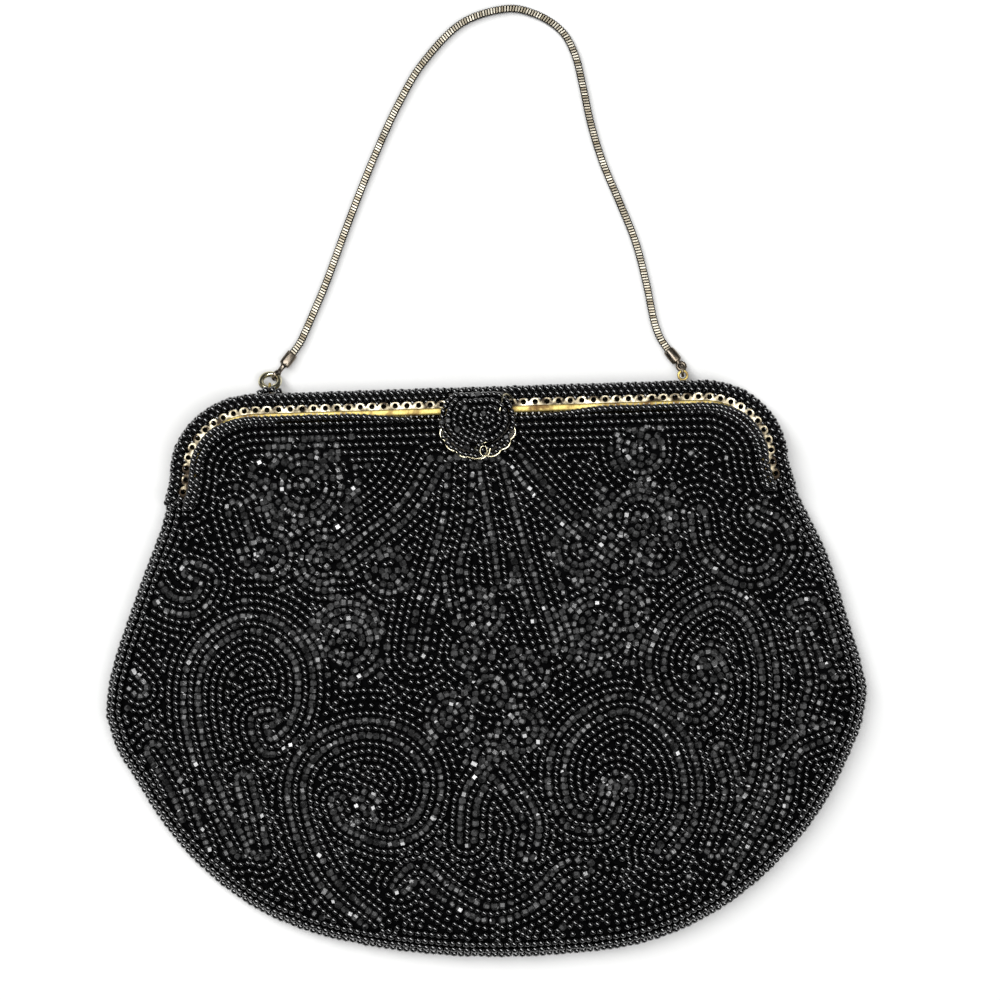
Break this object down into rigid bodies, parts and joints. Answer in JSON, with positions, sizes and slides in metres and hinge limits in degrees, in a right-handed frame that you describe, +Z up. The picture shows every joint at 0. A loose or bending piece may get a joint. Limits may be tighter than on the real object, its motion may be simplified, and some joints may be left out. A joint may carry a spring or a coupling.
{
  "type": "beaded flapper purse",
  "caption": "Beaded frame purse lying on its back: hollow soft bag on a hinged metal frame with a lifting rose clasp and a fine chain handle.",
  "frame": {"origin": "on the flat of the bag's back, where the purse rests, on the bag's middle line", "axes": "+X to the right as the front is seen, +Y from the bag towards the handle, +Z up, out of the front"},
  "size_m": [0.2303, 0.2879, 0.0244],
  "materials": {
    "beaded_cloth": "black crocheted cloth covered with seed beads",
    "black_glass_beads": "glossy opaque black glass, cut beads dark grey",
    "worn_gold": "gold wash worn to brown in places",
    "worn_silver": "tarnished silver plate",
    "dark_bronze": "dark bronze, golden on the high spots"
  },
  "bodies": {
    "bag": {"pouch": "beaded_cloth", "cover_front": "beaded_cloth", "cover_back": "beaded_cloth", "frame_front": "worn_gold", "frame_back": "worn_gold", "pivot_left": "worn_silver", "pivot_right": "worn_silver", "ring_left": "worn_gold", "ring_right": "worn_gold", "chain_end_left": "dark_bronze", "chain_end_right": "dark_bronze", "handle_chain": "dark_bronze"},
    "clasp_lever": {"clasp_plate": "worn_silver", "clasp_rosette": "black_glass_beads"}
  },
  "joints": [
    {"name": "clasp_lift", "type": "hinge", "parent": "bag", "child": "clasp_lever", "pos_m": [0, 0.0849, 0.0143], "axis": [-1, 0, 0], "range_deg": [0, 95]}
  ]
}
